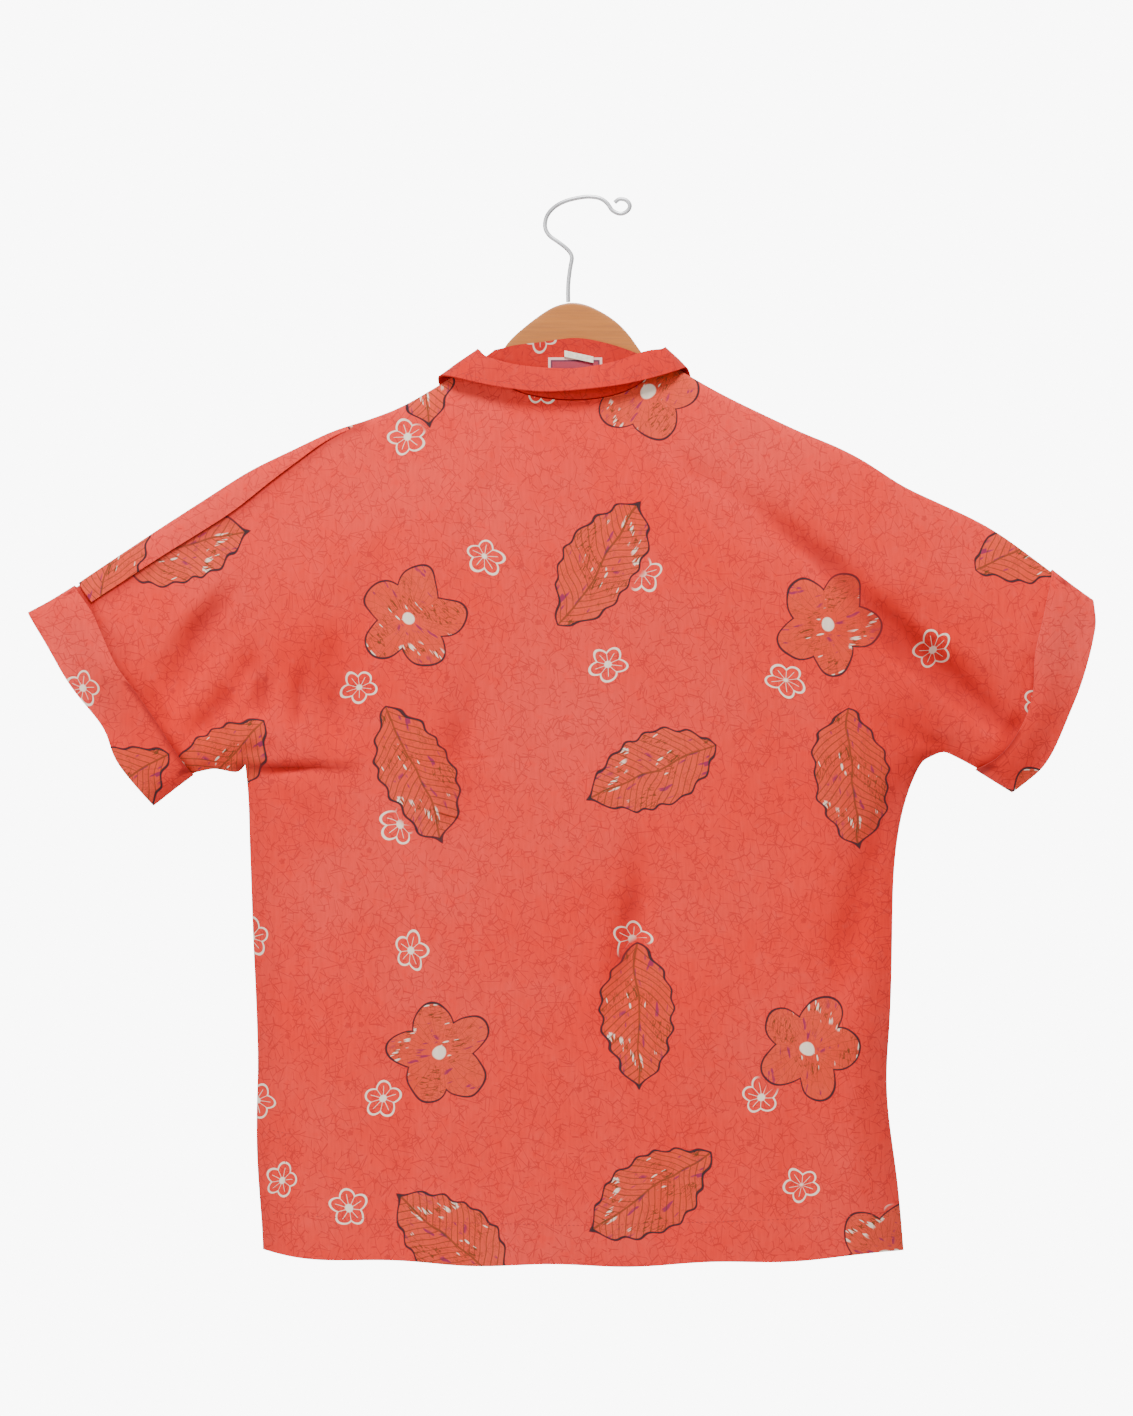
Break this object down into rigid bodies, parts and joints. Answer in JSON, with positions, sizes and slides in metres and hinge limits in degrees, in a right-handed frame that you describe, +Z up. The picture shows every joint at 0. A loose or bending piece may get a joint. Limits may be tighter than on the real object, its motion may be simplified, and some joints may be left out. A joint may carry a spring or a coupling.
{
  "type": "hawaiian shirt on wooden hanger",
  "caption": "Short-sleeved coral-red printed shirt with kimono sleeves and turned-up cuffs, hung flat on a wooden hanger with a steel hook.",
  "frame": {"origin": "underside of the hook's wire at its top, where the hanger hangs", "axes": "+Z up, +X to the right as seen from behind the shirt, -Y the way the shirt's back faces"},
  "size_m": [0.8533, 0.0584, 0.8542],
  "materials": {
    "cloth": "matte printed cotton",
    "label": "woven",
    "tape": "woven tape",
    "button": "polished",
    "wood": "satin varnish",
    "steel": "bright wire"
  },
  "bodies": {
    "root": {"back": "cloth", "front_left": "cloth", "front_right": "cloth", "back_sleeve_left": "cloth", "back_sleeve_right": "cloth", "front_sleeve_left": "cloth", "front_sleeve_right": "cloth", "cuff_left": "cloth", "cuff_right": "cloth", "overarm_roll": "cloth", "collar_fall": "cloth", "collar_stand": "cloth", "neck_label": "label", "hanger_loop": "tape", "button_1": "button", "button_2": "button", "button_3": "button", "button_4": "button", "button_5": "button", "hanger_wood": "wood", "hanger_hook": "steel"}
  },
  "joints": []
}
